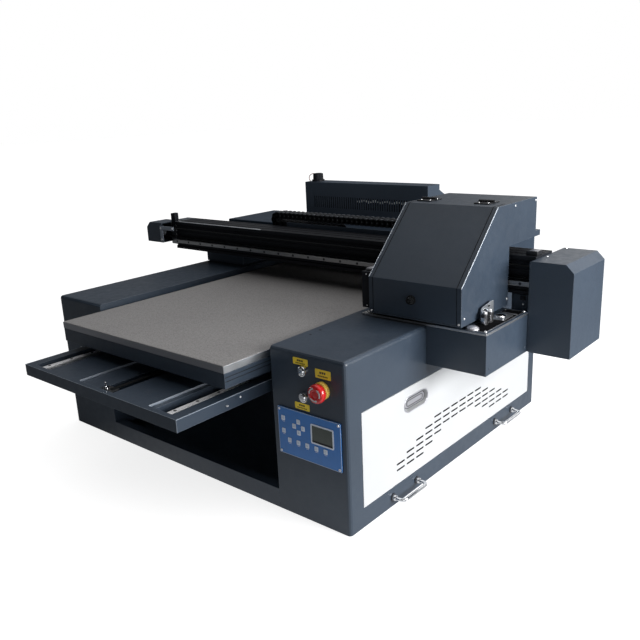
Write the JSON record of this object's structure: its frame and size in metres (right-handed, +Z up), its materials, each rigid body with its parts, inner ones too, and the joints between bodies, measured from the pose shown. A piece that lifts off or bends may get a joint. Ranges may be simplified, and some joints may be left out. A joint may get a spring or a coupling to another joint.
{
  "type": "flatbed uv printer",
  "caption": "Flatbed UV printer: a bed rolls through a lifting platform's bay under a beam with a hooded print carriage, controls on a tower.",
  "frame": {"origin": "centre of the base pan's underside, on the surface the printer stands on", "axes": "+X along the beam towards the control tower, +Y from the operator to the back, +Z up"},
  "size_m": [1.526, 1.33, 0.6733],
  "materials": {
    "blue_grey_paint": "fine textured powder coat",
    "white_paint": "satin powder coat",
    "black_anodised": "black anodised",
    "bright_steel": "ground",
    "chrome": "polished",
    "belt_rubber": "ribbed",
    "black_plastic": "satin",
    "blue_panel": "satin film",
    "yellow_plastic": "gloss",
    "red_plastic": "gloss",
    "bed_surface": "matt grey coating",
    "tank_plastic": "satin",
    "bottle_plastic": "translucent white",
    "circuit_board": "solder mask",
    "supply_case": "satin"
  },
  "bodies": {
    "base": {"base_pan": "blue_grey_paint", "front_sill": "blue_grey_paint", "left_cover": "blue_grey_paint", "tower_cover": "blue_grey_paint", "rear_panel": "blue_grey_paint", "rear_deck": "bright_steel", "rear_housing": "blue_grey_paint", "main_board": "circuit_board", "vent_box": "blue_grey_paint", "ink_tank": "tank_plastic", "tank_cap": "black_plastic", "power_supply": "supply_case", "waste_bottle": "bottle_plastic", "power_inlet": "black_plastic", "left_column": "blue_grey_paint", "right_column": "blue_grey_paint", "beam": "black_anodised", "x_rail": "bright_steel", "left_end_cover": "blue_grey_paint", "left_end_bracket": "bright_steel", "end_box": "blue_grey_paint", "x_motor": "black_plastic", "x_belt": "belt_rubber", "chain_tray": "blue_grey_paint", "chain_lower": "black_plastic", "maintenance_box": "blue_grey_paint", "maintenance_deck": "bright_steel", "pump_bracket": "bright_steel", "control_panel": "blue_panel", "estop_collar": "yellow_plastic", "handle_front": "chrome", "handle_rear": "chrome"},
    "platform": {"tray": "blue_grey_paint", "y_rail_left": "bright_steel", "y_rail_right": "bright_steel", "y_belt": "belt_rubber"},
    "bed": {"table_frame": "blue_grey_paint", "table_plate": "bed_surface"},
    "carriage": {"carriage_frame": "black_anodised", "print_heads": "bright_steel", "uv_lamp": "black_anodised", "hood": "blue_grey_paint", "chain_upper": "black_plastic"},
    "lid": {"hood_lid": "blue_grey_paint"},
    "knob": {"hood_knob": "black_plastic"},
    "chain_loop": {"chain_bend": "black_plastic"},
    "idler": {"idler_pulley": "bright_steel"},
    "drive": {"drive_pulley": "bright_steel"},
    "bed_idler": {"y_idler_pulley": "bright_steel"},
    "bed_drive": {"y_drive_pulley": "bright_steel"},
    "door": {"side_door": "white_paint"},
    "latch": {"latch_paddle": "white_paint"},
    "stop_button": {"estop_head": "red_plastic"},
    "up_button": {"up_button": "bright_steel"},
    "down_button": {"down_button": "bright_steel"},
    "caps": {"cap_station": "black_plastic"},
    "screw_front_left": {"lift_screw_front_left": "bright_steel"},
    "screw_front_right": {"lift_screw_front_right": "bright_steel"},
    "screw_rear_left": {"lift_screw_rear_left": "bright_steel"},
    "screw_rear_right": {"lift_screw_rear_right": "bright_steel"}
  },
  "joints": [
    {"name": "platform_lift", "type": "slide", "parent": "base", "child": "platform", "axis": [0, 0, 1], "range_m": [-0.15, 0.012]},
    {"name": "table_slide", "type": "slide", "parent": "platform", "child": "bed", "axis": [0, 1, 0], "range_m": [-0.1, 0.47]},
    {"name": "screw_front_left_turn", "type": "hinge", "parent": "base", "child": "screw_front_left", "pos_m": [-0.3125, -0.25, 0.0033], "axis": [0, 0, 1], "range_deg": [-5401, 433]},
    {"name": "screw_front_right_turn", "type": "hinge", "parent": "base", "child": "screw_front_right", "pos_m": [0.3125, -0.25, 0.0033], "axis": [0, 0, 1], "range_deg": [-5401, 433]},
    {"name": "screw_rear_left_turn", "type": "hinge", "parent": "base", "child": "screw_rear_left", "pos_m": [-0.3125, 0.25, 0.0033], "axis": [0, 0, 1], "range_deg": [-5401, 433]},
    {"name": "screw_rear_right_turn", "type": "hinge", "parent": "base", "child": "screw_rear_right", "pos_m": [0.3125, 0.25, 0.0033], "axis": [0, 0, 1], "range_deg": [-5401, 433]},
    {"name": "carriage_slide", "type": "slide", "parent": "base", "child": "carriage", "axis": [1, 0, 0], "range_m": [-0.85, 0], "deforming": ["chain_upper"]},
    {"name": "chain_loop_slide", "type": "slide", "parent": "base", "child": "chain_loop", "axis": [1, 0, 0], "range_m": [-0.4251, 0]},
    {"name": "idler_pulley_turn", "type": "hinge", "parent": "base", "child": "idler", "pos_m": [-0.7, 0.07, 0.488], "axis": [0, 1, 0], "range_deg": [-3303, 1]},
    {"name": "drive_pulley_turn", "type": "hinge", "parent": "base", "child": "drive", "pos_m": [0.73, 0.07, 0.488], "axis": [0, 1, 0], "range_deg": [-3303, 1]},
    {"name": "bed_idler_turn", "type": "hinge", "parent": "platform", "child": "bed_idler", "pos_m": [0.032, -0.66, 0.2875], "axis": [1, 0, 0], "range_deg": [-2764, 590]},
    {"name": "bed_drive_turn", "type": "hinge", "parent": "platform", "child": "bed_drive", "pos_m": [0.032, 0.57, 0.2875], "axis": [1, 0, 0], "range_deg": [-2764, 590]},
    {"name": "hood_lid_hinge", "type": "hinge", "parent": "carriage", "child": "lid", "pos_m": [0.498, 0.055, 0.65], "axis": [-1, 0, 0], "range_deg": [0, 100]},
    {"name": "hood_knob_turn", "type": "hinge", "parent": "lid", "child": "knob", "pos_m": [0.494, -0.1603, 0.451], "axis": [0, -1, 0], "range_deg": [0, 90]},
    {"name": "side_door_hinge", "type": "hinge", "parent": "base", "child": "door", "pos_m": [0.525, 0, 0.0465], "axis": [0, 1, 0], "range_deg": [0, 88]},
    {"name": "latch_paddle_hinge", "type": "hinge", "parent": "door", "child": "latch", "pos_m": [0.519, -0.191, 0.2365], "axis": [0, -1, 0], "range_deg": [0, 35], "stiffness_Nm_per_rad": 0.05},
    {"name": "estop_press", "type": "slide", "parent": "base", "child": "stop_button", "axis": [0, 1, 0], "range_m": [0, 0.004], "stiffness_N_per_m": 800},
    {"name": "up_button_press", "type": "slide", "parent": "base", "child": "up_button", "axis": [0, 1, 0], "range_m": [0, 0.003], "stiffness_N_per_m": 300},
    {"name": "down_button_press", "type": "slide", "parent": "base", "child": "down_button", "axis": [0, 1, 0], "range_m": [0, 0.003], "stiffness_N_per_m": 300},
    {"name": "cap_station_lift", "type": "slide", "parent": "base", "child": "caps", "axis": [0, 0, 1], "range_m": [-0.012, 0]}
  ],
  "couplings": [
    {"joint": "screw_front_left_turn", "follows": "platform_lift", "rad_per_m": 628.32},
    {"joint": "screw_front_right_turn", "follows": "platform_lift", "rad_per_m": 628.32},
    {"joint": "screw_rear_left_turn", "follows": "platform_lift", "rad_per_m": 628.32},
    {"joint": "screw_rear_right_turn", "follows": "platform_lift", "rad_per_m": 628.32},
    {"joint": "chain_loop_slide", "follows": "carriage_slide", "ratio": 0.5},
    {"joint": "idler_pulley_turn", "follows": "carriage_slide", "rad_per_m": 67.797},
    {"joint": "drive_pulley_turn", "follows": "carriage_slide", "rad_per_m": 67.797},
    {"joint": "bed_idler_turn", "follows": "table_slide", "rad_per_m": -102.56},
    {"joint": "bed_drive_turn", "follows": "table_slide", "rad_per_m": -102.56}
  ]
}
